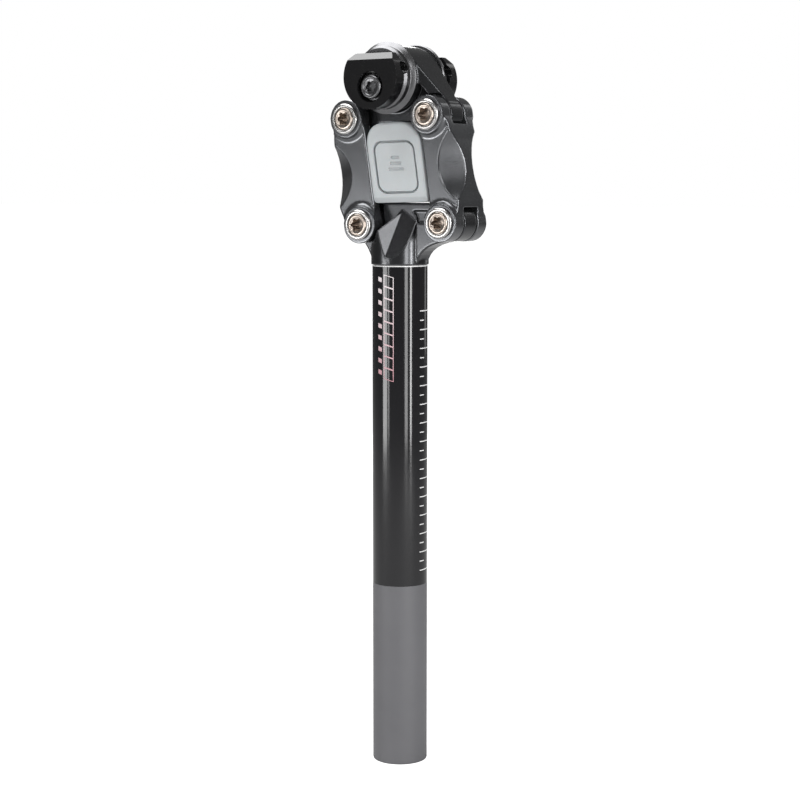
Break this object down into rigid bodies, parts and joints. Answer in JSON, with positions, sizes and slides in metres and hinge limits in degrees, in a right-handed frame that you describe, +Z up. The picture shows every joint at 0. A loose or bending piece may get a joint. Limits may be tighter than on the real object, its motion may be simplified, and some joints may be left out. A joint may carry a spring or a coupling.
{
  "type": "suspension seatpost",
  "caption": "Bicycle seatpost with a parallelogram linkage over an elastomer block and a side-entry two-rail saddle clamp.",
  "frame": {"origin": "centre of the post's lower end, on the post's axis", "axes": "+Z up along the post, +X towards the rear of the bicycle, -Y the bicycle's left side"},
  "size_m": [0.0831, 0.061, 0.4052],
  "materials": {
    "anodised_tube": "gloss black anodised",
    "forged_black": "polished black anodised forging",
    "jaw_satin": "black anodised, turned",
    "elastomer": "matte light grey cast elastomer",
    "bush_polymer": "dark self-lubricating polymer",
    "silver_cap": "machined, polished rim",
    "nickel_screw": "nickel plated steel",
    "steel": "ground steel",
    "dark_steel": "black oxide steel"
  },
  "bodies": {
    "post": {"post_tube": "anodised_tube", "lower_head": "forged_black", "bush_front_lower_left": "bush_polymer", "bush_front_lower_right": "bush_polymer", "bush_rear_lower_left": "bush_polymer", "bush_rear_lower_right": "bush_polymer"},
    "front_link": {"front_link": "forged_black", "axle_front_lower": "steel", "cap_front_lower_left": "silver_cap", "screw_front_lower_left": "nickel_screw", "cap_front_lower_right": "silver_cap", "screw_front_lower_right": "nickel_screw", "axle_front_upper": "steel", "cap_front_upper_left": "silver_cap", "screw_front_upper_left": "nickel_screw", "cap_front_upper_right": "silver_cap", "screw_front_upper_right": "nickel_screw"},
    "rear_link": {"rear_link": "forged_black", "axle_rear_lower": "steel", "cap_rear_lower_left": "silver_cap", "screw_rear_lower_left": "nickel_screw", "cap_rear_lower_right": "silver_cap", "screw_rear_lower_right": "nickel_screw", "axle_rear_upper": "steel", "cap_rear_upper_left": "silver_cap", "screw_rear_upper_left": "nickel_screw", "cap_rear_upper_right": "silver_cap", "screw_rear_upper_right": "nickel_screw"},
    "upper_head": {"upper_head": "forged_black", "bush_front_upper_left": "bush_polymer", "bush_front_upper_right": "bush_polymer", "bush_rear_upper_left": "bush_polymer", "bush_rear_upper_right": "bush_polymer"},
    "elastomer": {"elastomer": "elastomer"},
    "clamp_cradle": {"inner_jaw_left": "jaw_satin", "inner_jaw_right": "jaw_satin"},
    "left_jaw": {"outer_jaw_left": "forged_black", "clamp_washer_left": "dark_steel"},
    "right_jaw": {"outer_jaw_right": "forged_black", "clamp_washer_right": "dark_steel", "clamp_nut": "dark_steel"},
    "clamp_bolt": {"clamp_bolt": "dark_steel"}
  },
  "joints": [
    {"name": "front_link_swing", "type": "hinge", "parent": "post", "child": "front_link", "pos_m": [-0.0169, 0, 0.3055], "axis": [0, 1, 0], "range_deg": [0, 45], "stiffness_Nm_per_rad": 40},
    {"name": "rear_link_swing", "type": "hinge", "parent": "post", "child": "rear_link", "pos_m": [0.0365, 0, 0.3069], "axis": [0, 1, 0], "range_deg": [0, 45]},
    {"name": "head_level", "type": "hinge", "parent": "front_link", "child": "upper_head", "pos_m": [-0.0258, 0, 0.3639], "axis": [0, 1, 0], "range_deg": [-45, 0]},
    {"name": "elastomer_lean", "type": "hinge", "parent": "post", "child": "elastomer", "pos_m": [0.0035, 0, 0.276], "axis": [0, 1, 0], "range_deg": [0, 22.5], "deforming": ["elastomer"]},
    {"name": "saddle_tilt", "type": "hinge", "parent": "upper_head", "child": "clamp_cradle", "pos_m": [0.0008, 0, 0.3856], "axis": [0, 1, 0], "range_deg": [-15, 15]},
    {"name": "left_jaw_slide", "type": "slide", "parent": "clamp_cradle", "child": "left_jaw", "axis": [0, -1, 0], "range_m": [0, 0.0031]},
    {"name": "right_jaw_slide", "type": "slide", "parent": "clamp_cradle", "child": "right_jaw", "axis": [0, 1, 0], "range_m": [0, 0.0031]},
    {"name": "clamp_bolt_turn", "type": "hinge", "parent": "left_jaw", "child": "clamp_bolt", "pos_m": [0.0008, -0.028, 0.3802], "axis": [0, 1, 0], "range_deg": [0, 1800]}
  ],
  "couplings": [
    {"joint": "rear_link_swing", "follows": "front_link_swing", "ratio": 1},
    {"joint": "head_level", "follows": "front_link_swing", "ratio": -1},
    {"joint": "elastomer_lean", "follows": "front_link_swing", "ratio": 0.5}
  ]
}
